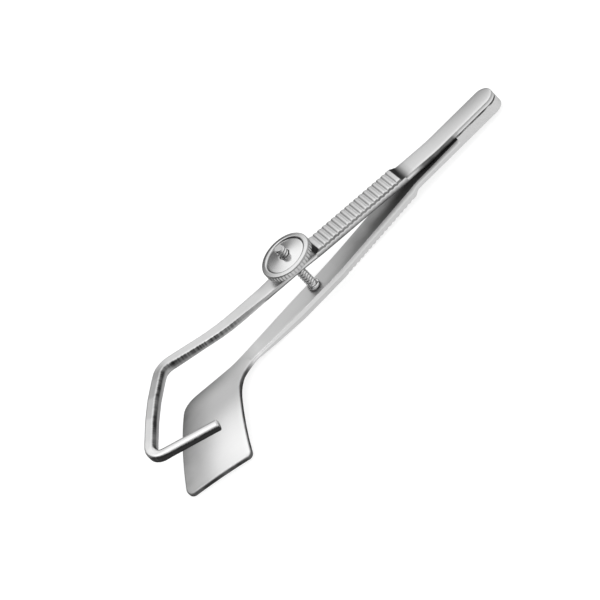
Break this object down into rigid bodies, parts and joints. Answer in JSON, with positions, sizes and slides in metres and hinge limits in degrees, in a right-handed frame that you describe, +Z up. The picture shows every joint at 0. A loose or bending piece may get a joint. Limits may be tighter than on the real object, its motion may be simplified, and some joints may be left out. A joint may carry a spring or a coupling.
{
  "type": "entropion forceps",
  "caption": "Entropion forceps: spring arms with serrated finger pads, a solid curved lid plate under an open wire frame, and a knurled thumb nut on a screw to clamp them.",
  "frame": {"origin": "point on the surface the instrument lies on, straight below the axis of the clamp screw, in the flat underside of the lower arm's seat", "axes": "+X along the arms from the joined rear end to the lid plate, +Y to the side the plate turns to, +Z up along the screw"},
  "size_m": [0.1021, 0.0291, 0.0154],
  "materials": {
    "arm_steel": "stainless steel, fine satin",
    "frame_steel": "stainless steel, fine satin",
    "screw_steel": "stainless steel, cut thread",
    "nut_steel": "stainless steel, turned and knurled"
  },
  "bodies": {
    "lower_half": {"lower_arm": "arm_steel", "clamp_screw": "screw_steel"},
    "upper_half": {"upper_arm": "frame_steel"},
    "nut": {"thumb_nut": "nut_steel"}
  },
  "joints": [
    {"name": "arm_close", "type": "hinge", "parent": "lower_half", "child": "upper_half", "pos_m": [-0.0412, 0, 0.004], "axis": [0, 1, 0], "range_deg": [0, 6.4], "stiffness_Nm_per_rad": 1.5, "springref_deg": -1.15},
    {"name": "nut_travel", "type": "slide", "parent": "lower_half", "child": "nut", "axis": [0, 0, 1], "range_m": [-0.0049, 0]}
  ],
  "couplings": [
    {"joint": "nut_travel", "follows": "arm_close", "m_per_rad": -0.0436}
  ]
}
